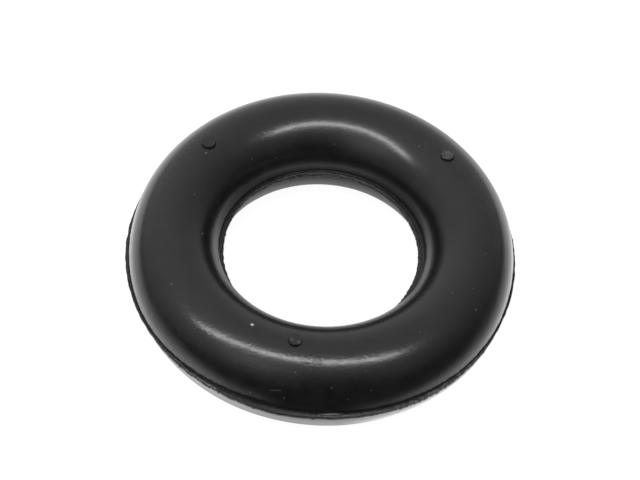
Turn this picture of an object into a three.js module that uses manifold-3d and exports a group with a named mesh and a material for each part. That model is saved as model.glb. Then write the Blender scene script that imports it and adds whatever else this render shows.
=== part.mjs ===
// Exhaust hanger rubber: one solid moulded rubber ring, lying flat on its side.
// Millimetres, +Z up. The origin is under the middle of the ring, on the surface that it lies on.
// The ring is moulded in two halves that meet at a seam halfway up, where thin flash is squeezed out.

import * as THREE from 'three';
import { mergeVertices } from 'three/addons/utils/BufferGeometryUtils.js';
import Module from 'manifold-3d';

// Driving dimensions, in millimetres.
const bodyDiameter = 60;          // across the rubber body, without its flash
const crownDiameter = 46.4;       // across the ring's highest line
const holeDiameter = 32.1;        // through the middle, without its flash
const bodyHeight = 16.15;         // from the underside to the crown, without the pips
const restFlatDepth = 0.03;       // how much the lowest line is flattened, where the ring lies on it
const flashThickness = 0.71;
const outerFlashReach = 0.53;     // how far the flash stands out of the outer wall
const holeFlashReach = 0.62;      // how far the flash stands into the hole
const outerFlashWander = 0.07;    // how far its trimmed edge strays from a true circle
const holeFlashWander = 0.08;
const holeFlashStretch = 0.15;    // the trimmed hole is this much further out in y, and less in x
const mouldShiftX = 0.18;         // the upper mould half sat this far off the lower one
const mouldShiftY = 0.2;
const pipDiameter = 2.2;          // torn stubs left on the crown where the mould was filled
const pipHeight = 0.4;

// The power of the curve on the hole's side of the section. Two is a true oval, less is straighter.
const holeSidePower = 1.83;

// Places of the pips round the crown, in degrees from +X.
const pipAzimuths = [37.5, 144.8, 262.9];

// Waves that the knife left along the flash: how many go round the ring, and each one's share.
const flashWaves = [
  { count: 3, share: 0.5, start: 0.4 },
  { count: 7, share: 0.3, start: 1.9 },
  { count: 16, share: 0.2, start: 5.1 },
];

// Steps of the round shapes.
const ringSteps = 96;
const halfSectionSteps = 16;
const pipSteps = 16;

// Sizes worked out from the driving ones.
const bodyRadius = bodyDiameter / 2;
const crownRadius = crownDiameter / 2;
const holeRadius = holeDiameter / 2;
const ovalHalfHeight = (bodyHeight - flashThickness + restFlatDepth) / 2;
const seamHeight = ovalHalfHeight - restFlatDepth + flashThickness / 2;
const restLevel = 1 - restFlatDepth / ovalHalfHeight;
const pipRadius = pipDiameter / 2;

const rubber = new THREE.MeshStandardMaterial({ color: 0x1e1e1f, roughness: 0.5, metalness: 0 });

const wasm = await Module();
wasm.setup();

function toSolid(geometry) {
  geometry.deleteAttribute('normal');
  geometry.deleteAttribute('uv');
  const merged = mergeVertices(geometry);
  const vertProperties = merged.attributes.position.array;
  const triVerts = Uint32Array.from(merged.index.array);
  return new wasm.Manifold(new wasm.Mesh({ numProp: 3, vertProperties, triVerts }));
}

function toGeometry(solid) {
  const mesh = solid.getMesh();
  const geometry = new THREE.BufferGeometry();
  geometry.setAttribute('position', new THREE.BufferAttribute(mesh.vertProperties, 3));
  geometry.setIndex(new THREE.BufferAttribute(mesh.triVerts, 1));
  geometry.computeVertexNormals();
  return geometry;
}

// A point of the section round the given centre height. The angle is nought at the outer wall,
// a quarter turn at the crown and a half turn at the wall in the hole.
function sectionPoint(angle, centreHeight) {
  const across = Math.cos(angle);
  const up = Math.sin(angle);
  const outer = across >= 0;
  const power = outer ? 1 : 2 / holeSidePower;
  const halfWidth = outer ? bodyRadius - crownRadius : crownRadius - holeRadius;
  const sideways = Math.sign(across) * halfWidth * Math.abs(across) ** power;
  const upwards = Math.sign(up) * ovalHalfHeight * Math.abs(up) ** power;
  return new THREE.Vector2(crownRadius + sideways, centreHeight + upwards);
}

function sectionArc(centreHeight, from, to, steps) {
  const points = [];
  for (let step = 0; step <= steps; step += 1) {
    points.push(sectionPoint(from + ((to - from) * step) / steps, centreHeight));
  }
  return points;
}

// Turns an outline of radius and height once round the ring's axis.
function turned(outline) {
  const geometry = new THREE.LatheGeometry([...outline, outline[0].clone()], ringSteps);
  return geometry.rotateX(Math.PI / 2);
}

function upperHalf() {
  const outline = [
    new THREE.Vector2(bodyRadius, seamHeight),
    ...sectionArc(seamHeight + flashThickness / 2, 0, Math.PI, halfSectionSteps),
    new THREE.Vector2(holeRadius, seamHeight),
  ];
  return turned(outline).translate(mouldShiftX, mouldShiftY, 0);
}

// The lower half ends in the narrow flat that it lies on.
function lowerHalf() {
  const centre = seamHeight - flashThickness / 2;
  const bottom = 1.5 * Math.PI;
  const steps = halfSectionSteps / 2;
  const holeSide = bottom - Math.acos(restLevel ** (holeSidePower / 2));
  const outerSide = bottom + Math.acos(restLevel);
  const outline = [
    new THREE.Vector2(holeRadius, seamHeight),
    ...sectionArc(centre, Math.PI, holeSide, steps),
    ...sectionArc(centre, outerSide, 2 * Math.PI, steps),
    new THREE.Vector2(bodyRadius, seamHeight),
  ];
  return turned(outline);
}

// A trimmed edge of the flash, which wanders a little in and out round the ring.
function flashEdge(radius, wander, stretch) {
  const points = [];
  for (let step = 0; step < ringSteps; step += 1) {
    const angle = (2 * Math.PI * step) / ringSteps;
    let stray = 0;
    for (const wave of flashWaves) {
      stray += wave.share * Math.sin(wave.count * angle + wave.start);
    }
    const reach = radius + wander * stray - stretch * Math.cos(2 * angle);
    points.push(new THREE.Vector2(reach * Math.cos(angle), reach * Math.sin(angle)));
  }
  return points;
}

// One thin sheet at the seam, from the edge in the hole to the edge outside.
function flash() {
  const outerEdge = flashEdge(bodyRadius + outerFlashReach, outerFlashWander, 0);
  const holeEdge = flashEdge(holeRadius - holeFlashReach, holeFlashWander, holeFlashStretch);
  const sheet = new THREE.Shape(outerEdge);
  sheet.holes.push(new THREE.Path(holeEdge));
  const geometry = new THREE.ExtrudeGeometry(sheet, { depth: flashThickness, bevelEnabled: false });
  return geometry.translate(0, 0, seamHeight - flashThickness / 2);
}

// A short round stub on the crown. It is rooted below the place where the crown falls away from it.
function pip(azimuth) {
  const angle = THREE.MathUtils.degToRad(azimuth);
  const share = pipRadius / Math.min(bodyRadius - crownRadius, crownRadius - holeRadius);
  const root = pipHeight + 1.2 * ovalHalfHeight * (1 - Math.sqrt(1 - share * share));
  const geometry = new THREE.CylinderGeometry(pipRadius, pipRadius, pipHeight + root, pipSteps);
  const x = mouldShiftX + crownRadius * Math.cos(angle);
  const y = mouldShiftY + crownRadius * Math.sin(angle);
  const z = bodyHeight + (pipHeight - root) / 2;
  return geometry.rotateX(Math.PI / 2).translate(x, y, z);
}

function hangerRing() {
  let solid = toSolid(lowerHalf()).add(toSolid(upperHalf())).add(toSolid(flash()));
  for (const azimuth of pipAzimuths) {
    solid = solid.add(toSolid(pip(azimuth)));
  }
  const ring = new THREE.Mesh(toGeometry(solid), rubber);
  ring.name = 'hanger_ring';
  return ring;
}

const hanger = new THREE.Group();
hanger.add(hangerRing());

export default hanger;
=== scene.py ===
import math
from collections import namedtuple

import bmesh
import bpy
from mathutils import Matrix, Vector, noise


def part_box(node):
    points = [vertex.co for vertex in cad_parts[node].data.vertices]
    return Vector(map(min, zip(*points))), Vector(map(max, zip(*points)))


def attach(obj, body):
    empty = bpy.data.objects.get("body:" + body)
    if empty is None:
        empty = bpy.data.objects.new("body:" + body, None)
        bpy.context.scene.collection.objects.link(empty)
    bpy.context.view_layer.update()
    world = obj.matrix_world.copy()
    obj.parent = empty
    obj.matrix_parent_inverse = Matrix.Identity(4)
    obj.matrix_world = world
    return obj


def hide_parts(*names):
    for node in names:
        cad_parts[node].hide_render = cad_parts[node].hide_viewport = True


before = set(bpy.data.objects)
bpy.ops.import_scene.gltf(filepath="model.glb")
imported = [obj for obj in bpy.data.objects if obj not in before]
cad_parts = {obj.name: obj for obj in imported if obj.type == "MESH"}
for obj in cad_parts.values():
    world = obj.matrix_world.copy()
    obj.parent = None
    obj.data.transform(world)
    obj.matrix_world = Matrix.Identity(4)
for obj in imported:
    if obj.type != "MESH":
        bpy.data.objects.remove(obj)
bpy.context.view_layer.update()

MM = 0.001

# Sizes of the moulding. The overall ones come from the frame's box.
FLASH_THICKNESS = 0.71 * MM
OUTER_FLASH_REACH = 0.53 * MM
HOLE_FLASH_REACH = 0.62 * MM
OUTER_FLASH_WANDER = 0.07 * MM
HOLE_FLASH_WANDER = 0.08 * MM
HOLE_FLASH_STRETCH = 0.15 * MM
MOULD_SHIFT = Vector((0.18, 0.2, 0.0)) * MM
PIP_HEIGHT = 0.4 * MM
REST_SINK = 0.03 * MM
CROWN_SHARE = 23.2 / 30
HOLE_SHARE = 16.05 / 30
HOLE_SIDE_POWER = 1.83

ring_low, ring_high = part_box("hanger_ring")
BODY_RADIUS = (ring_high.x - ring_low.x) / 2 - OUTER_FLASH_REACH
CROWN_RADIUS = BODY_RADIUS * CROWN_SHARE
HOLE_RADIUS = BODY_RADIUS * HOLE_SHARE
CROWN_HEIGHT = ring_high.z - PIP_HEIGHT
OVAL_HALF_HEIGHT = (CROWN_HEIGHT - FLASH_THICKNESS + REST_SINK) / 2
SEAM_HEIGHT = CROWN_HEIGHT - OVAL_HALF_HEIGHT - FLASH_THICKNESS / 2
FLASH_TOP = SEAM_HEIGHT + FLASH_THICKNESS / 2

# Fineness of the ring's mesh. Within the first small share of the flash's reach, a point still
# belongs to the body.
SECTORS = 32
SECTOR_STEPS = 32
SECTION_STEPS = 60
BODY_END = 0.05
EDGE_CUTS = 7
FACE_CUTS = 2
PIP_STEPS = 40
SHARP_EDGE = math.radians(42)

# Where the real ring isn't as the mould meant it: how far, the azimuth and the spread in degrees.
WIDER_FRONT_RIGHT = (0.45 * MM, 309, 55)
WIDER_FRONT_LEFT = (0.45 * MM, 214, 45)
TIGHTER_HOLE = (0.3 * MM, 128, 55)
LONGER_FLASH_RIGHT = (0.42 * MM, 304, 42)
LONGER_FLASH_FRONT = (0.15 * MM, 262, 22)
SHORTER_FLASH_BACK = (0.27 * MM, 157, 28)

# Waves of the trimmed edge: how many go round the ring, the share of each and where it starts.
FLASH_WAVES = ((3, 0.5, 0.4), (7, 0.3, 1.9), (16, 0.2, 5.1))

# The form of the flash's own section. Its upper face starts at a share of its half thickness.
EDGE_ROUNDING = 0.10 * MM
EDGE_ROUNDING_CHANGE = 0.05 * MM
EDGE_FULLNESS = 1.5
FLASH_BUCKLE = 0.03 * MM
ROOT_FILLET = 0.07 * MM
LIP_DROOP = 0.11 * MM
UPPER_FACE = 0.9

# A torn stub on the crown: its azimuth in degrees, then in mm how far to the right of the spot on
# the crown there it stands, how far behind it, its radius and how rough its top is, and last the
# seed of its tear.
Stub = namedtuple("Stub", "azimuth aside ahead radius roughness seed")
RIGHT_STUB = Stub(37.5, 0.28, 0.36, 1.0, 0.09, 3.0)
LEFT_STUB = Stub(144.8, -0.08, 0.18, 1.05, 0.035, 8.0)
FRONT_STUB = Stub(262.9, -0.1, 0.25, 0.98, 0.05, 15.0)
STUB_ROOT = -0.5 * MM
TEAR_SIZE = 0.42 * MM

# The camera, solved from the outlines of the ring, its hole and its seam in the photo.
CAMERA_DISTANCE = 305.3 * MM
NEAREST_SEEN = 0.01
CAMERA_ELEVATION = math.radians(53.05)
CAMERA_ROLL = math.radians(4.07)
AIM_POINT = Vector((-0.243 * MM, 2.395 * MM, SEAM_HEIGHT))
PHOTO_WIDTH = 640
PHOTO_HEIGHT = 480
FOCAL_PIXELS = 1948.3
SENSOR_WIDTH = 36.0

# The lamps, in metres and as radiance.
SOFTBOX_DIRECTION = Vector((-0.126, -0.299, 0.946)).normalized()
SOFTBOX_DISTANCE = 0.6
SOFTBOX_WIDTH = 0.344
SOFTBOX_RADIANCE = 5.5
STRIP_PLACE = Vector((-0.135, -0.19, 0.6))
STRIP_LENGTH = 0.93
STRIP_WIDTH = 0.045
STRIP_RADIANCE = 28.5

# The plain surroundings.
WHITE = (1, 1, 1, 1)
SOFT_LIGHT_LEVEL = 0.45
FLOOR_HALF_WIDTH = 3.0
FLOOR_DEPTH = 0.02 * MM
FLOOR_GREY = (0.85, 0.85, 0.85, 1)
FLOOR_GLOW = 1.22
FLOOR_PLAIN_SHARE = 0.78
WALLS_RADIUS = 2.0
SHEET_HALF_WIDTH = 1.9
SHEET_HEIGHT = 0.02 * MM

# Colours of the rubber and of the dust and torn fibres on it. The pale one also paints a
# highlight on the flash.
DARK_RUBBER = (0.0075, 0.0075, 0.0078, 1)
LIGHT_RUBBER = (0.0110, 0.0110, 0.0114, 1)
DUST_AND_GLINT = (0.62, 0.61, 0.59, 1)
RUBBER_IOR = 1.47
SPECULAR_LEVEL = 0.5

# Fineness of the rubber's patterns, as cells in a metre.
GRAIN_SCALE = 2400.0
MOTTLE_SCALE = 420.0
SWELL_SCALE = 90.0
RUBBED_SCALE = 130.0
STREWN_SCALE = 900.0
STRAND_SCALE = 2600.0
SHRED_SCALE = 1700.0

# Heights of the rubber's fine unevenness.
GRAIN_HEIGHT = 0.017 * MM
RUBBED_GRAIN_HEIGHT = 0.018 * MM
MOTTLE_HEIGHT = 0.011 * MM
SWELL_HEIGHT = 0.03 * MM
STREWN_HEIGHT = 0.02 * MM
MARK_HEIGHT = 0.006 * MM
STREAK_HEIGHT = 0.024 * MM
RUGGED_STREAK_HEIGHT = 0.1 * MM

# The knife's streaks: their fineness round the ring and across the edge, and their slant.
STREAKS_ROUND = 14
STREAKS_ACROSS = 5200
STREAKS_SLANT = 0.7

# A painted highlight on the flash, as a short light line: how far it lies right of the middle and
# from the ring's axis, its width as a share of its length, and how light it is.
PAINTED_GLINT_ASIDE = 3.24 * MM
PAINTED_GLINT_RADIUS = 30.09 * MM
PAINTED_GLINT_SQUEEZE = 0.09
PAINTED_GLINT_LIGHTNESS = 0.28

# Specks of dust: the column and the row where the photo shows each, its size in mm and how light
# it is.
SPECKS = (
    (252.2, 324.6, 0.27, 1.0),
    (202.7, 233.6, 0.15, 0.30),
    (171.5, 284.0, 0.17, 0.16),
    (194.6, 194.4, 0.14, 0.12),
    (252.2, 158.8, 0.16, 0.08),
    (275.9, 157.7, 0.13, 0.08),
    (293.9, 129.0, 0.12, 0.10),
    (475.6, 309.8, 0.16, 0.16),
    (418.0, 361.3, 0.15, 0.10),
    (485.3, 253.4, 0.13, 0.10),
    (331.5, 387.7, 0.17, 0.09),
    (284.2, 398.0, 0.16, 0.11),
    (220.2, 379.4, 0.16, 0.20),
    (214.1, 366.3, 0.13, 0.10),
    (295.3, 372.4, 0.15, 0.12),
    (365.7, 371.0, 0.13, 0.10),
    (250.3, 392.4, 0.15, 0.14),
    (452.5, 293.1, 0.13, 0.10),
    (371.8, 393.3, 0.13, 0.08),
    (206.0, 153.0, 0.18, 0.22),
)

# The light scratch in front, a level row of spots: the first one's column and row, how many
# columns lie between them, how many there are, then their size in mm and their lightness.
SCRATCH_START = (270.4, 390.3)
SCRATCH_STEP = 1.9
SCRATCH_SPOTS = 6
SCRATCH_SPOT = (0.14, 0.07)
SIGHT_STEP = 0.01 * MM

# Azimuth and angle round the section of the faint round unevenness and of the torn flash.
MARK_PLACE = (270.8, 67.6)
TEAR_PLACE = (312.0, 0.0)


def photo_view():
    """The camera's place and its directions to the right, up and ahead."""
    back = -math.cos(CAMERA_ELEVATION)
    up = math.sin(CAMERA_ELEVATION)
    place = Vector((0, back, up)) * CAMERA_DISTANCE + Vector((0, 0, SEAM_HEIGHT))
    looking = (AIM_POINT - place).normalized()
    level_right = looking.cross(Vector((0, 0, 1))).normalized()
    level_up = level_right.cross(looking)
    right = math.cos(CAMERA_ROLL) * level_right + math.sin(CAMERA_ROLL) * level_up
    upright = math.cos(CAMERA_ROLL) * level_up - math.sin(CAMERA_ROLL) * level_right
    return place, right, upright, looking


def photo_camera():
    data = bpy.data.cameras.new("photo_camera")
    data.sensor_width = SENSOR_WIDTH
    data.lens = FOCAL_PIXELS * SENSOR_WIDTH / PHOTO_WIDTH
    data.clip_start = NEAREST_SEEN
    camera = bpy.data.objects.new("photo_camera", data)
    bpy.context.scene.collection.objects.link(camera)
    place, right, upright, looking = photo_view()
    turn = Matrix((right, upright, -looking)).transposed()
    camera.matrix_world = Matrix.Translation(place) @ turn.to_4x4()
    bpy.context.scene.camera = camera


class Socket:
    """A value in a node tree, on which sums are written as plain expressions."""

    def __init__(self, maker, link):
        self.maker = maker
        self.link = link

    def __add__(self, other):
        return self.maker.math("ADD", self, other)

    def __radd__(self, other):
        return self.maker.math("ADD", other, self)

    def __sub__(self, other):
        return self.maker.math("SUBTRACT", self, other)

    def __rsub__(self, other):
        return self.maker.math("SUBTRACT", other, self)

    def __mul__(self, other):
        return self.maker.math("MULTIPLY", self, other)

    def __rmul__(self, other):
        return self.maker.math("MULTIPLY", other, self)

    def __truediv__(self, other):
        return self.maker.math("DIVIDE", self, other)

    def __rtruediv__(self, other):
        return self.maker.math("DIVIDE", other, self)


class NodeMaker:
    """Adds nodes to one emptied node tree."""

    def __init__(self, tree):
        tree.nodes.clear()
        self.tree = tree

    def node(self, kind, output, sockets=None, **settings):
        """One node: its settings first, then its sockets' values or links."""
        made = self.tree.nodes.new(kind)
        for name, value in settings.items():
            setattr(made, name, value)
        for name, value in (sockets or {}).items():
            if isinstance(value, Socket):
                self.tree.links.new(value.link, made.inputs[name])
            else:
                made.inputs[name].default_value = value
        return made if output is None else Socket(self, made.outputs[output])

    def math(self, operation, first, second=0.0):
        return self.node("ShaderNodeMath", 0, {0: first, 1: second}, operation=operation)

    def size(self, value):
        """The value without its sign."""
        return self.math("ABSOLUTE", value)

    def larger(self, first, second):
        return self.math("MAXIMUM", first, second)

    def smaller(self, first, second):
        return self.math("MINIMUM", first, second)

    def ramp(self, value, low, high):
        """Nought at low, one at high and a soft run between them."""
        return self.node(
            "ShaderNodeMapRange", "Result",
            {"Value": value, "From Min": low, "From Max": high},
            interpolation_type="SMOOTHSTEP")

    def fade(self, value, low, high):
        """One at low, nought at high and a soft run between them."""
        return 1 - self.ramp(value, low, high)

    def length(self, vector):
        return self.node("ShaderNodeVectorMath", "Value", {0: vector}, operation="LENGTH")

    def distance(self, first, second):
        return self.node(
            "ShaderNodeVectorMath", "Value", {0: first, 1: second}, operation="DISTANCE")

    def split(self, vector):
        apart = self.node("ShaderNodeSeparateXYZ", None, {"Vector": vector})
        return [Socket(self, apart.outputs[axis]) for axis in "XYZ"]

    def combine(self, x, y, z):
        return self.node("ShaderNodeCombineXYZ", "Vector", {"X": x, "Y": y, "Z": z})

    def noise(self, coords, scale, detail, roughness):
        return self.node(
            "ShaderNodeTexNoise", "Fac",
            {"Vector": coords, "Scale": scale, "Detail": detail, "Roughness": roughness})

    def mix_colour(self, factor, first, second):
        """The first colour at factor nought, and the second at one."""
        return self.node("ShaderNodeMix", 2, {0: factor, 6: first, 7: second}, data_type="RGBA")


def on_oval(across, up):
    """Turns a place on the unit circle to one on the section, which is straighter at the hole."""
    power = 1 if across > 0 else 2 / HOLE_SIDE_POWER
    half_width = BODY_RADIUS - CROWN_RADIUS if across > 0 else CROWN_RADIUS - HOLE_RADIUS
    sideways = math.copysign(half_width * abs(across) ** power, across)
    upwards = math.copysign(OVAL_HALF_HEIGHT * abs(up) ** power, up)
    return sideways, upwards


def upper_point(azimuth, section_angle):
    """A place on the upper half, at angle 0 outside, 90 on the crown and 180 in the hole."""
    turn = math.radians(azimuth)
    angle = math.radians(section_angle)
    across, up = on_oval(math.cos(angle), math.sin(angle))
    radius = CROWN_RADIUS + across
    height = FLASH_TOP + up
    return Vector((radius * math.cos(turn), radius * math.sin(turn), height)) + MOULD_SHIFT


def stub_place(stub):
    """The spot on the crown that the middle of the stub stands on."""
    return upper_point(stub.azimuth, 90.0) + Vector((stub.aside, stub.ahead, 0)) * MM


def inside_upper_half(place):
    """Whether a place lies within the oval of the upper half."""
    outward = (place - MOULD_SHIFT).xy.length - CROWN_RADIUS
    half_width = BODY_RADIUS - CROWN_RADIUS if outward > 0 else CROWN_RADIUS - HOLE_RADIUS
    power = 2 if outward > 0 else HOLE_SIDE_POWER
    up = (place.z - FLASH_TOP) / OVAL_HALF_HEIGHT
    return (abs(outward) / half_width) ** power + max(0.0, up) ** power < 1


def seen_at(column, row):
    """The place on the upper half that the photo shows at a column and a row."""
    place, right, upright, looking = photo_view()
    sight = looking + (column - PHOTO_WIDTH / 2) / FOCAL_PIXELS * right
    sight -= (row - PHOTO_HEIGHT / 2) / FOCAL_PIXELS * upright
    place += sight * (CROWN_HEIGHT - place.z) / sight.z
    while place.z > FLASH_TOP:
        if inside_upper_half(place):
            return place
        place += sight * SIGHT_STEP
    raise ValueError("the photo doesn't show the upper half there")


def placed_specks(maker, coords):
    """How light the specks and the scratch make each point, from nought to one."""
    found = 0.0
    start, scratch_row = SCRATCH_START
    scratch = tuple(
        (start + count * SCRATCH_STEP, scratch_row, *SCRATCH_SPOT)
        for count in range(SCRATCH_SPOTS))
    for column, row, size, lightness in SPECKS + scratch:
        away = maker.distance(coords, seen_at(column, row))
        speck = lightness * maker.fade(away, 0.2 * size * MM, 1.35 * size * MM)
        found = maker.larger(speck, found)
    return found


def scattered_specks(maker, coords):
    """Small grains strewn thinly all over the rubber."""
    cells = maker.node("ShaderNodeTexVoronoi", None, {"Vector": coords, "Scale": STREWN_SCALE})
    away = Socket(maker, cells.outputs["Distance"])
    picked = maker.node(
        "ShaderNodeSeparateColor", "Red", {"Color": Socket(maker, cells.outputs["Color"])})
    return maker.fade(away, 0.05, 0.11) * maker.ramp(picked, 0.8, 0.88)


class RubberSurface:
    """What lies at each point of the rubber, for its colour, its gloss and its relief."""

    def __init__(self, maker):
        self.maker = maker
        self.coords = maker.node("ShaderNodeTexCoord", "Object")
        self.x, self.y, self.height = maker.split(self.coords)
        self.radius = maker.length(maker.combine(self.x, self.y, 0.0))
        self.grain = maker.noise(self.coords, GRAIN_SCALE, 1.5, 0.5)
        self.mottle = maker.noise(self.coords, MOTTLE_SCALE, 4.0, 0.6)
        self.specks = placed_specks(maker, self.coords)
        self.strewn = scattered_specks(maker, self.coords)
        away_from_mark = maker.distance(self.coords, upper_point(*MARK_PLACE))
        self.marked = maker.fade(away_from_mark, 0.4 * MM, 0.9 * MM)
        self.find_flash()

    def find_flash(self):
        """The trimmed edge of the flash, and where the knife tore it."""
        maker = self.maker
        from_seam = maker.size(self.height - SEAM_HEIGHT)
        self.trimmed = maker.fade(from_seam, 0.33 * MM, 0.39 * MM)
        self.in_hole = maker.fade(self.radius, 17 * MM, 20 * MM)
        away_from_tear = maker.distance(self.coords, upper_point(*TEAR_PLACE))
        self.torn_edge = maker.fade(away_from_tear, 5 * MM, 13 * MM)
        by_seam = maker.fade(from_seam, 0.4 * MM, 0.55 * MM)
        self.on_flash = by_seam * maker.ramp(self.radius, 30.38 * MM, 30.5 * MM)
        self.streaks = self.trimmed * trim_streaks(self)


def trim_streaks(surface):
    """Fine lines that the knife left along the trimmed edge of the flash."""
    along = surface.maker.combine(
        STREAKS_ROUND * surface.x / surface.radius,
        STREAKS_ROUND * surface.y / surface.radius,
        STREAKS_ACROSS * (surface.height + STREAKS_SLANT * surface.radius))
    return surface.maker.noise(along, 1.0, 3.0, 0.6)


def pale_stub(surface):
    """The whitish, torn top of the stub on the right, and the scuffed rubber behind it."""
    maker = surface.maker
    place = stub_place(RIGHT_STUB)
    near = maker.fade(maker.distance(surface.coords, place), 0.75 * MM, 1.15 * MM)
    on_top = maker.ramp(surface.height, CROWN_HEIGHT + 0.12 * MM, CROWN_HEIGHT + 0.2 * MM)
    behind = maker.distance(surface.coords, place + Vector((0.4, 1.0, -0.2)) * MM)
    scuffed = 0.25 * maker.fade(behind, 0.6 * MM, 1.7 * MM)
    strands = maker.ramp(maker.noise(surface.coords, STRAND_SCALE, 3.0, 0.6), 0.32, 0.72)
    return (0.02 + 0.12 * strands) * maker.larger(near * on_top, scuffed)


def light_bits(surface):
    """Two lighter torn bits on the stub in front."""
    maker = surface.maker
    top = stub_place(FRONT_STUB) + Vector((0, 0, 0.35)) * MM
    left = maker.distance(surface.coords, top + Vector((-0.48, -0.06, 0)) * MM)
    right = maker.distance(surface.coords, top + Vector((0.62, -0.45, 0)) * MM)
    return 0.085 * maker.fade(maker.smaller(left, right), 0.05 * MM, 0.45 * MM)


def painted_glint(surface):
    """A painted highlight: a short light line on top of the flash in front."""
    maker = surface.maker
    drawn_out = maker.combine(PAINTED_GLINT_SQUEEZE * surface.x, surface.radius, surface.height)
    middle = (PAINTED_GLINT_SQUEEZE * PAINTED_GLINT_ASIDE, PAINTED_GLINT_RADIUS, FLASH_TOP)
    near = maker.fade(maker.distance(drawn_out, middle), 0.04 * MM, 0.2 * MM)
    in_front = maker.ramp(-1 * surface.y, 0, 10 * MM)
    return PAINTED_GLINT_LIGHTNESS * near * in_front


def pale_trim_and_glint(surface):
    """Where the knife left the edge of the flash pale, and a painted highlight on the flash in
    front.
    """
    maker = surface.maker
    lightness = 0.03 + 0.04 * surface.in_hole + 0.17 * surface.torn_edge
    streaks = lightness * maker.ramp(surface.streaks, 0.46, 0.66)
    shreds = maker.ramp(maker.noise(surface.coords, SHRED_SCALE, 2.0, 0.6), 0.46, 0.62)
    shredded = 0.15 * surface.torn_edge * surface.on_flash * shreds
    # The last of these is a painted highlight, not a mark of the knife.
    return maker.larger(maker.larger(streaks, shredded), painted_glint(surface))


def rubber_colour(surface):
    maker = surface.maker
    colour = maker.mix_colour(maker.ramp(surface.mottle, 0.3, 0.7), DARK_RUBBER, LIGHT_RUBBER)
    dusty = maker.smaller(surface.specks + 0.075 * surface.strewn, 1.0)
    # The last of these holds the knife's pale marks and a painted highlight on the flash in
    # front.
    for paleness in (dusty, pale_stub(surface), light_bits(surface), pale_trim_and_glint(surface)):
        colour = maker.mix_colour(paleness, colour, DUST_AND_GLINT)
    return colour


def rubber_roughness(surface):
    """Satin rubber, duller on the flash, on its trimmed edge and under the specks."""
    rough = 0.192 + 0.05 * surface.mottle + 0.03 * surface.grain
    rough = rough + 0.10 * surface.trimmed + 0.2 * surface.on_flash
    rough = rough + 0.3 * surface.maker.smaller(4 * surface.specks, 1.0)
    return rough + 0.08 * surface.marked


def rubber_relief(surface):
    """The height of the fine unevenness, in metres."""
    maker = surface.maker
    swell = maker.noise(surface.coords, SWELL_SCALE, 2.0, 0.5)
    rubbed = maker.ramp(maker.noise(surface.coords, RUBBED_SCALE, 3.0, 0.6), 0.38, 0.66)
    # The rubber is a little smoother behind than in front.
    calm = 1 - 0.4 * maker.ramp(surface.y, -10 * MM, 12 * MM)
    relief = MOTTLE_HEIGHT * surface.mottle + SWELL_HEIGHT * swell
    relief = relief + STREWN_HEIGHT * surface.strewn + MARK_HEIGHT * surface.marked
    relief = relief + (GRAIN_HEIGHT + RUBBED_GRAIN_HEIGHT * rubbed) * calm * surface.grain
    # The knife cut roughly in the hole and at the tear, and smoothly elsewhere.
    rugged = maker.larger(surface.in_hole, surface.torn_edge)
    return relief + (STREAK_HEIGHT + RUGGED_STREAK_HEIGHT * rugged) * surface.streaks


def black_rubber():
    material = bpy.data.materials.new("black_rubber")
    material.use_nodes = True
    maker = NodeMaker(material.node_tree)
    surface = RubberSurface(maker)
    bump = maker.node(
        "ShaderNodeBump", "Normal",
        {"Strength": 1.0, "Distance": 1.0, "Height": rubber_relief(surface)})
    rubber = maker.node(
        "ShaderNodeBsdfPrincipled", "BSDF",
        {"Base Color": rubber_colour(surface), "Roughness": rubber_roughness(surface),
         "Normal": bump, "IOR": RUBBER_IOR, "Specular IOR Level": SPECULAR_LEVEL})
    maker.node("ShaderNodeOutputMaterial", None, {"Surface": rubber})
    return material


def flash_stray(angle):
    """How far the trimmed edge wanders, from about -1 to 1, as on the solid."""
    return sum(share * math.sin(count * angle + start) for count, share, start in FLASH_WAVES)


def torn(angle, fineness, seed):
    """Raggedness round the ring, from about -1 to 1."""
    circle = Vector((math.cos(angle), math.sin(angle), 0)) * fineness
    return noise.noise(circle + Vector((0, 0, seed))) * 2


def near_azimuth(angle, azimuth, spread):
    """One at the given azimuth, falling to nought at the given spread from it, in degrees."""
    apart = abs((math.degrees(angle) - azimuth + 180) % 360 - 180)
    return max(0.0, 1 - apart / spread)


def swelling(angle, most, azimuth, spread):
    """The most at the given azimuth, with soft shoulders on both sides."""
    near = near_azimuth(angle, azimuth, spread)
    return most * near * near * (3 - 2 * near)


def widening(angle, height):
    """How much wider the ring is than round at its seam."""
    wider = swelling(angle, *WIDER_FRONT_RIGHT)
    if height > 0:
        wider += swelling(angle, *WIDER_FRONT_LEFT)
    return wider


def section_outline(ring):
    """The oval section, opened at its seam for the flash on both sides, at azimuth nought."""
    circle = bmesh.ops.create_circle(ring, cap_ends=False, segments=SECTION_STEPS, radius=1.0)
    points = circle["verts"]
    half_step = Matrix.Rotation(math.pi / SECTION_STEPS, 3, "Z")
    bmesh.ops.rotate(ring, verts=points, matrix=half_step)
    bmesh.ops.rotate(ring, verts=points, matrix=Matrix.Rotation(math.pi / 2, 3, "X"))
    beside_seam = 1.5 * math.sin(math.pi / SECTION_STEPS)
    for point in points:
        across, up = point.co.x, point.co.z
        if abs(up) < beside_seam:
            across, up = math.copysign(1, across), math.copysign(0, up)
        sideways, upwards = on_oval(across, up)
        # The two halves stand apart by the thickness of the flash.
        upwards += math.copysign(FLASH_THICKNESS / 2, up)
        point.co = (CROWN_RADIUS + sideways, 0, SEAM_HEIGHT + upwards)
    for reach in (OUTER_FLASH_REACH, -HOLE_FLASH_REACH):
        draw_out_flash(ring, reach)


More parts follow.
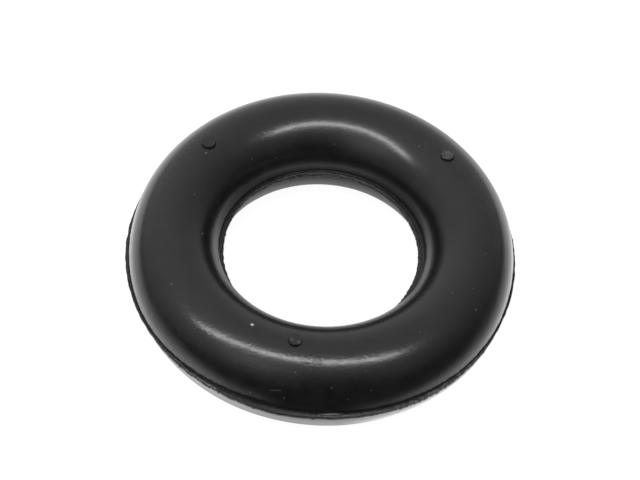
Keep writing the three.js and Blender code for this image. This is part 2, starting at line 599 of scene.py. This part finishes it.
def draw_out_flash(ring, reach):
    wall = seam_wall(ring, reach)
    made = bmesh.ops.extrude_edge_only(ring, edges=[wall])["geom"]
    tip = [item for item in made if isinstance(item, bmesh.types.BMVert)]
    bmesh.ops.translate(ring, verts=tip, vec=(reach, 0, 0))
    # With the wall goes the new face, and the face's other edges stay as the outline.
    bmesh.ops.delete(ring, geom=[wall], context="EDGES_FACES")
    trimmed = [edge for edge in ring.edges if all(end in tip for end in edge.verts)]
    faces = [edge for edge in ring.edges if sum(end in tip for end in edge.verts) == 1]
    bmesh.ops.subdivide_edges(ring, edges=trimmed, cuts=EDGE_CUTS)
    bmesh.ops.subdivide_edges(ring, edges=faces, cuts=FACE_CUTS)


def seam_wall(ring, side):
    """The edge of the section that crosses the seam, outside or in the hole."""
    for edge in ring.edges:
        first, second = edge.verts
        crosses = (first.co.z - SEAM_HEIGHT) * (second.co.z - SEAM_HEIGHT) < 0
        outside = first.co.x > CROWN_RADIUS
        if crosses and outside == (side > 0):
            return edge
    raise RuntimeError("no wall at the seam")


def spin_round(shape, angle, steps, duplicate):
    bmesh.ops.spin(
        shape, geom=shape.verts[:] + shape.edges[:] + shape.faces[:], cent=(0, 0, 0),
        axis=(0, 0, 1), dvec=(0, 0, 0), angle=angle, steps=steps, use_merge=False,
        use_normal_flip=False, use_duplicate=duplicate)


def ring_body():
    ring = bmesh.new()
    section_outline(ring)
    sector = 2 * math.pi / SECTORS
    spin_round(ring, sector, SECTOR_STEPS, False)
    spin_round(ring, 2 * math.pi - sector, SECTORS - 1, True)
    bmesh.ops.remove_doubles(ring, verts=ring.verts, dist=0.004 * MM)
    bmesh.ops.recalc_face_normals(ring, faces=ring.faces)
    for point in ring.verts:
        shape_point(point)
    return ring


def shape_point(point):
    """Sets the upper half off, tears the edges of the flash and flattens the underside."""
    angle = math.atan2(point.co.y, point.co.x)
    radius = point.co.xy.length
    height = point.co.z - SEAM_HEIGHT
    outer_share = (radius - BODY_RADIUS) / OUTER_FLASH_REACH
    hole_share = (HOLE_RADIUS - radius) / HOLE_FLASH_REACH
    if outer_share > BODY_END:
        root = BODY_RADIUS + widening(angle, height)
        shape_flash(point, angle, height, outer_share, root, outer_tip(angle, height))
    elif hole_share > BODY_END:
        shape_flash(point, angle, height, hole_share, HOLE_RADIUS, hole_tip(angle, height))
    else:
        make_uneven(point, angle, height, radius)
    point.co.z = max(point.co.z, 0.0)


def make_uneven(point, angle, height, radius):
    """Widens the outer wall, tightens the hole below the seam and sets the upper half off."""
    if radius > CROWN_RADIUS:
        share = (radius - CROWN_RADIUS) / (BODY_RADIUS - CROWN_RADIUS)
        point.co.xy *= 1 + widening(angle, height) * share * share / radius
    elif height < 0:
        share = (CROWN_RADIUS - radius) / (CROWN_RADIUS - HOLE_RADIUS)
        most, azimuth, spread = TIGHTER_HOLE
        point.co.xy *= 1 - most * share * near_azimuth(angle, azimuth, spread) / radius
    if height > 0:
        point.co += MOULD_SHIFT


def outer_tip(angle, height):
    """The radius of the outer flash's trimmed edge."""
    stray = OUTER_FLASH_WANDER * flash_stray(angle)
    stray += 0.05 * MM * torn(angle, 22, 3)
    hacked = 0.25 + near_azimuth(angle, 305, 26) + 0.5 * near_azimuth(angle, 245, 30)
    stray += hacked * 0.09 * MM * torn(angle, 110, 5 + height / MM)
    stray += swelling(angle, *LONGER_FLASH_RIGHT) + swelling(angle, *LONGER_FLASH_FRONT)
    stray -= swelling(angle, *SHORTER_FLASH_BACK)
    return BODY_RADIUS + OUTER_FLASH_REACH + stray


def hole_tip(angle, height):
    """The radius of the trimmed edge in the hole."""
    stray = HOLE_FLASH_WANDER * flash_stray(angle) - HOLE_FLASH_STRETCH * math.cos(2 * angle)
    stray += 0.04 * MM * torn(angle, 22, 13)
    hacked = 0.06 + 0.12 * near_azimuth(angle, 110, 22)
    stray += hacked * MM * torn(angle, 100, 17 + height / MM)
    return HOLE_RADIUS - HOLE_FLASH_REACH + stray


def shape_flash(point, angle, height, share, root, tip):
    """Puts a point of the flash between its root on the body and its torn tip."""
    rise = height / (FLASH_THICKNESS / 2)
    side = 1 if tip > root else -1
    rounding = EDGE_ROUNDING + EDGE_ROUNDING_CHANGE * torn(angle, 30, 23 + side)
    inward = min(1.0, rise * rise) ** EDGE_FULLNESS
    tip -= side * rounding * (1 - math.sqrt(max(0.0, 1 - inward)))
    reach = root + (tip - root) * share
    lift = FLASH_BUCKLE * share * (torn(angle, 14, 31 + side) + torn(angle, 70, 37 + side))
    point.co.x = reach * math.cos(angle)
    point.co.y = reach * math.sin(angle)
    if rise > UPPER_FACE:
        # A fillet at the root and a drooping lip on top of the flash.
        lift += ROOT_FILLET * (1 - share) - LIP_DROOP * share ** 3
        point.co += MOULD_SHIFT * (1 - share)
    point.co.z += lift


def add_pip(stubs, stub):
    """A short stub, rooted inside the crown, with a torn top."""
    top = PIP_HEIGHT - 0.6 * stub.roughness * MM
    # Shares of the radius and heights, from the middle of the top down the flared foot.
    outline = (
        (0, top), (0.25, top), (0.45, top), (0.65, top), (0.82, top), (1, top),
        (1.03, 0.14 * MM), (1.15, -0.1 * MM), (1.2, STUB_ROOT), (0, STUB_ROOT))
    corners = [
        stubs.verts.new((share * stub.radius * MM, 0, height)) for share, height in outline]
    sides = [stubs.edges.new(pair) for pair in zip(corners, corners[1:])]
    known = set(stubs.verts) - set(corners)
    bmesh.ops.spin(
        stubs, geom=corners + sides, cent=(0, 0, 0), axis=(0, 0, 1), dvec=(0, 0, 0),
        angle=2 * math.pi, steps=PIP_STEPS, use_merge=True, use_normal_flip=False,
        use_duplicate=False)
    made = [point for point in stubs.verts if point not in known]
    for point in made:
        if point.co.z > PIP_HEIGHT / 2:
            tear_top(point, stub)
    bmesh.ops.translate(stubs, verts=made, vec=stub_place(stub))


def tear_top(point, stub):
    """Makes the top of a stub ragged and lower behind."""
    place = Vector((point.co.x, point.co.y, 0)) / TEAR_SIZE
    ragged = noise.noise(place + Vector((stub.seed, stub.seed, stub.seed)))
    point.co.z -= 1.2 * stub.roughness * max(0.0, point.co.y)
    point.co.z = min(point.co.z + 2 * stub.roughness * MM * ragged, PIP_HEIGHT)


def filling_pips():
    stubs = bmesh.new()
    for stub in (RIGHT_STUB, LEFT_STUB, FRONT_STUB):
        add_pip(stubs, stub)
    bmesh.ops.remove_doubles(stubs, verts=stubs.verts, dist=0.001 * MM)
    bmesh.ops.recalc_face_normals(stubs, faces=stubs.faces)
    return as_object(stubs, "filling_pips")


def as_object(shape, name):
    mesh = bpy.data.meshes.new(name)
    shape.to_mesh(mesh)
    shape.free()
    thing = bpy.data.objects.new(name, mesh)
    bpy.context.scene.collection.objects.link(thing)
    return thing


def hanger_ring():
    """The whole moulding: the ring with its flash, joined with the stubs on its crown."""
    piece = as_object(ring_body(), "hanger_ring_rubber")
    stubs = filling_pips()
    union = piece.modifiers.new("union", "BOOLEAN")
    union.operation = "UNION"
    union.solver = "MANIFOLD"
    union.object = stubs
    bpy.context.view_layer.update()
    shown = piece.evaluated_get(bpy.context.evaluated_depsgraph_get())
    joined = bpy.data.meshes.new_from_object(shown)
    piece.modifiers.clear()
    piece.data = joined
    bpy.data.objects.remove(stubs)
    joined.materials.clear()
    joined.materials.append(black_rubber())
    for face in joined.polygons:
        face.use_smooth = True
    joined.set_sharp_from_angle(angle=SHARP_EDGE)
    return piece


def area_lamp(name, shape, width, depth, place, toward, radiance):
    """A flat lamp that faces away from the given direction."""
    data = bpy.data.lights.new(name, "AREA")
    data.shape = shape
    data.size = width
    data.size_y = depth
    data.energy = radiance * math.pi * width * depth
    if shape == "DISK":
        data.energy *= math.pi / 4
    lamp = bpy.data.objects.new(name, data)
    lamp.location = place
    lamp.rotation_euler = toward.to_track_quat("Z", "Y").to_euler()
    bpy.context.scene.collection.objects.link(lamp)
    return lamp


def studio_lamps():
    """A soft lamp that lights the scene, and a long one whose mirror image is the thin gleam."""
    place = Vector((0, 0, SEAM_HEIGHT)) + SOFTBOX_DISTANCE * SOFTBOX_DIRECTION
    soft = area_lamp(
        "softbox", "DISK", SOFTBOX_WIDTH, SOFTBOX_WIDTH, place, SOFTBOX_DIRECTION,
        SOFTBOX_RADIANCE)
    soft.visible_glossy = False
    strip = area_lamp(
        "strip", "RECTANGLE", STRIP_LENGTH, STRIP_WIDTH, STRIP_PLACE, Vector((0, 0, 1)),
        STRIP_RADIANCE)
    strip.visible_diffuse = False


def seen_plainly(maker):
    """One where the camera, a reflection or clear glass looks, and nought for soft light."""
    path = maker.node("ShaderNodeLightPath", None)
    camera = Socket(maker, path.outputs["Is Camera Ray"])
    glossy = Socket(maker, path.outputs["Is Glossy Ray"])
    clear = Socket(maker, path.outputs["Is Transmission Ray"])
    return maker.larger(maker.larger(camera, glossy), clear)


def studio_world():
    world = bpy.data.worlds.new("studio")
    world.use_nodes = True
    maker = NodeMaker(world.node_tree)
    strength = SOFT_LIGHT_LEVEL + (1 - SOFT_LIGHT_LEVEL) * seen_plainly(maker)
    sky = maker.node(
        "ShaderNodeBackground", "Background", {"Color": WHITE, "Strength": strength})
    maker.node("ShaderNodeOutputWorld", None, {"Surface": sky})
    bpy.context.scene.world = world


def stage_material(name):
    material = bpy.data.materials.new(name)
    material.use_nodes = True
    material.cycles.emission_sampling = "NONE"
    return material, NodeMaker(material.node_tree)


def flat_sheet(name, half_width, height):
    shape = bmesh.new()
    bmesh.ops.create_grid(shape, x_segments=1, y_segments=1, size=half_width)
    bmesh.ops.translate(shape, verts=shape.verts, vec=(0, 0, height))
    return as_object(shape, name)


def white_floor():
    floor = flat_sheet("floor", FLOOR_HALF_WIDTH, -FLOOR_DEPTH)
    material, maker = stage_material("white_floor")
    lit = maker.node("ShaderNodeBsdfDiffuse", "BSDF", {"Color": FLOOR_GREY})
    plain = maker.node(
        "ShaderNodeEmission", "Emission", {"Color": WHITE, "Strength": FLOOR_GLOW})
    plain_share = FLOOR_PLAIN_SHARE * seen_plainly(maker)
    surface = maker.node("ShaderNodeMixShader", "Shader", {0: plain_share, 1: lit, 2: plain})
    maker.node("ShaderNodeOutputMaterial", None, {"Surface": surface})
    floor.data.materials.append(material)


def glow_when_mirrored(thing, material, maker, level):
    """Lets nothing but reflections see this piece of the studio, which glows at the level."""
    light = maker.node("ShaderNodeEmission", "Emission", {"Color": WHITE, "Strength": level})
    maker.node("ShaderNodeOutputMaterial", None, {"Surface": light})
    thing.data.materials.append(material)
    thing.visible_camera = False
    thing.visible_diffuse = False
    thing.visible_transmission = False
    thing.visible_volume_scatter = False
    thing.visible_shadow = False


def studio_walls():
    """The room as mirrored: pale behind the table and overhead, dark on the viewer's side."""
    shape = bmesh.new()
    bmesh.ops.create_icosphere(shape, subdivisions=5, radius=WALLS_RADIUS)
    walls = as_object(shape, "studio_walls")
    material, maker = stage_material("studio_walls")
    coords = maker.node("ShaderNodeTexCoord", "Object")
    away = maker.node("ShaderNodeVectorMath", "Vector", {0: coords}, operation="NORMALIZE")
    x, y, z = maker.split(away)
    overhead = z * (0.67 - 0.55 * y - 0.19 * x)
    room = 0.22 - 0.16 * x + 0.42 * y + 0.2 * (y * y) + overhead
    pale_corner = maker.fade(maker.distance(away, (-0.42, -0.63, 0.62)), 0.0, 0.42)
    dim_corner = maker.fade(maker.distance(away, (0.1, -0.85, 0.5)), 0.15, 0.6)
    level = maker.larger(room + 0.6 * pale_corner - 0.35 * dim_corner, 0.02)
    glow_when_mirrored(walls, material, maker, level)


class TablePlace:
    """A place on the table, as values in its node tree."""

    def __init__(self, maker):
        self.maker = maker
        self.coords = maker.node("ShaderNodeTexCoord", "Object")
        self.x, self.y, height = maker.split(self.coords)
        self.radius = maker.length(self.coords)
        # One straight ahead of the ring, toward the viewer, and less than nought behind it.
        self.ahead = -1 * self.y / self.radius
        self.behind = -1 * self.ahead

    def spot(self, x, y, inner, outer):
        """One within the inner distance of a place and nought past the outer, all in mm."""
        away = self.maker.distance(self.coords, (x * MM, y * MM, 0))
        return self.maker.fade(away, inner * MM, outer * MM)


def open_table(at):
    """The table away from the ring: bright within a wide bow and dark toward the viewer."""
    maker = at.maker
    beside = at.x + 12 * MM
    within_bow = at.y + 35 * MM - 8.0 * (beside * beside)
    level = 0.25 + 1.1 * maker.ramp(within_bow, -40 * MM, 30 * MM)
    level = level - 0.25 * maker.ramp(at.y, 30 * MM, 120 * MM)
    level = level * (1 - 0.85 * maker.ramp(0.12 * at.x - at.y, 28 * MM, 48 * MM))
    return level * (1 - 0.85 * maker.ramp(at.ahead, 0.93, 0.99))


def beside_ring(at):
    """One on the table close to the left and the right of the ring."""
    maker = at.maker
    sideways = maker.fade(at.ahead, 0.2, 0.6) * maker.fade(at.behind, 0.2, 0.6)
    return maker.fade(at.radius, 38 * MM, 52 * MM) * sideways


def foot_in_front(at):
    """One on the table close in front of the ring, as its lower half mirrors it."""
    maker = at.maker
    on_left = maker.ramp(at.radius, 25 * MM, 33 * MM)
    on_right = maker.ramp(at.radius, 21 * MM, 26 * MM)
    foot = on_left + maker.ramp(at.x / at.radius, 0.15, 0.5) * (on_right - on_left)
    foot = foot * maker.fade(at.radius, 33.5 * MM, 35.5 * MM)
    return foot * maker.ramp(at.ahead, 0.3, 1.1)


def both_front_sides(at):
    """One at the places beside the ring in front, left and right alike."""
    folded = at.maker.combine(at.maker.size(at.x), at.y, 0.0)
    away = at.maker.distance(folded, (29 * MM, -24 * MM, 0))
    return at.maker.fade(away, 5 * MM, 17 * MM)


def table_in_hole(at):
    """The table in the hole: dim, with a bright bow and a light foot of the far wall."""
    maker = at.maker
    from_bow = maker.size(at.y + 2 * MM - 60.0 * (at.x * at.x))
    aside = maker.size(at.x - 1 * MM)
    bow = maker.fade(from_bow, 1.5 * MM, 5.5 * MM) * maker.fade(aside, 7 * MM, 12 * MM)
    by_wall = maker.ramp(at.radius, 12 * MM, 14 * MM) * maker.fade(at.radius, 14 * MM, 21 * MM)
    far_foot = by_wall * maker.ramp(at.behind, 0.5, 0.85)
    level = 0.3 + 0.95 * bow + 0.6 * far_foot + 0.25 * at.spot(-11, 7, 2, 5)
    return level * (1 - 0.85 * at.spot(15, 4, 3, 5))


def table_sheet():
    """The table as mirrored: bright round the ring and behind it, dark toward the viewer."""
    sheet = flat_sheet("table_sheet", SHEET_HALF_WIDTH, SHEET_HEIGHT)
    material, maker = stage_material("table_sheet")
    at = TablePlace(maker)
    level = open_table(at) + 0.5 * beside_ring(at)
    # It is dark beneath the ring, up to its bright foot in front.
    level = level * maker.ramp(at.radius, 28 * MM, 34 * MM) + 2.65 * foot_in_front(at)
    level = level + 0.4 * both_front_sides(at) - 0.3 * at.spot(26, 45, 12, 32)
    in_hole = maker.fade(at.radius, 21 * MM, 24 * MM)
    level = level + in_hole * (table_in_hole(at) - level)
    glow_when_mirrored(sheet, material, maker, level)


photo_camera()
studio_world()
white_floor()
studio_walls()
table_sheet()
studio_lamps()

ring = hanger_ring()
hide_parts("hanger_ring")
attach(ring, "root")

bpy.context.scene.view_settings.view_transform = "Standard"
